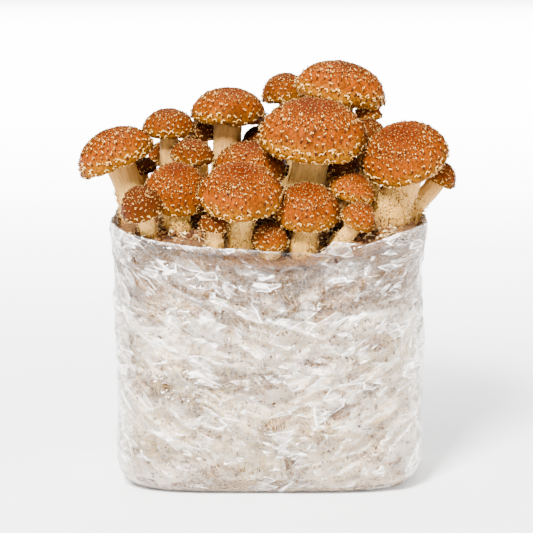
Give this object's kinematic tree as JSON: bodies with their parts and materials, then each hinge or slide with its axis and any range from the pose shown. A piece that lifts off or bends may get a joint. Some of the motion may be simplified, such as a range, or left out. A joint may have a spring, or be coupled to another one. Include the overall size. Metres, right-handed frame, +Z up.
{
  "type": "mushroom grow kit",
  "caption": "Fruiting chestnut mushroom grow kit: a clear film bag cut open at the top, filled with a colonised sawdust block, with scaly brown capped mushrooms standing out of it on pale stems",
  "frame": {"origin": "Centre of the bag's flat base, on the surface that the kit stands on.", "axes": "+Z points up, the kit's longest extent; +X points to the right, along the bag's long side; -Y is the front, where the bag's rim is lowest, and Y is the shortest extent."},
  "size_m": [0.2484, 0.1565, 0.2749],
  "materials": {
    "clear_film": "gloss",
    "colonised_sawdust": "matte",
    "cap_skin_chestnut": "satin",
    "cap_skin_dark": "satin",
    "stem_flesh": "matte"
  },
  "bodies": {
    "root": {"bag": "clear_film", "substrate_block": "colonised_sawdust", "cap_01": "cap_skin_chestnut", "cap_02": "cap_skin_chestnut", "cap_03": "cap_skin_chestnut", "cap_04": "cap_skin_chestnut", "cap_05": "cap_skin_chestnut", "cap_06": "cap_skin_chestnut", "cap_07": "cap_skin_chestnut", "cap_08": "cap_skin_dark", "cap_09": "cap_skin_dark", "cap_10": "cap_skin_dark", "cap_11": "cap_skin_chestnut", "cap_12": "cap_skin_chestnut", "cap_13": "cap_skin_chestnut", "cap_14": "cap_skin_chestnut", "cap_15": "cap_skin_chestnut", "cap_16": "cap_skin_dark", "cap_17": "cap_skin_chestnut", "cap_18": "cap_skin_chestnut", "cap_19": "cap_skin_chestnut", "cap_20": "cap_skin_chestnut", "cap_21": "cap_skin_dark", "cap_22": "cap_skin_chestnut", "cap_23": "cap_skin_dark", "cap_24": "cap_skin_dark", "cap_25": "cap_skin_dark", "cap_26": "cap_skin_chestnut", "cap_27": "cap_skin_chestnut", "cap_28": "cap_skin_dark", "stem_01": "stem_flesh", "stem_02": "stem_flesh", "stem_03": "stem_flesh", "stem_04": "stem_flesh", "stem_05": "stem_flesh", "stem_06": "stem_flesh", "stem_07": "stem_flesh", "stem_08": "stem_flesh", "stem_09": "stem_flesh", "stem_10": "stem_flesh", "stem_11": "stem_flesh", "stem_12": "stem_flesh", "stem_13": "stem_flesh", "stem_14": "stem_flesh", "stem_15": "stem_flesh", "stem_16": "stem_flesh", "stem_17": "stem_flesh", "stem_18": "stem_flesh", "stem_19": "stem_flesh", "stem_20": "stem_flesh", "stem_21": "stem_flesh", "stem_22": "stem_flesh", "stem_23": "stem_flesh", "stem_24": "stem_flesh", "stem_25": "stem_flesh", "stem_26": "stem_flesh", "stem_27": "stem_flesh", "stem_28": "stem_flesh"}
  },
  "joints": []
}
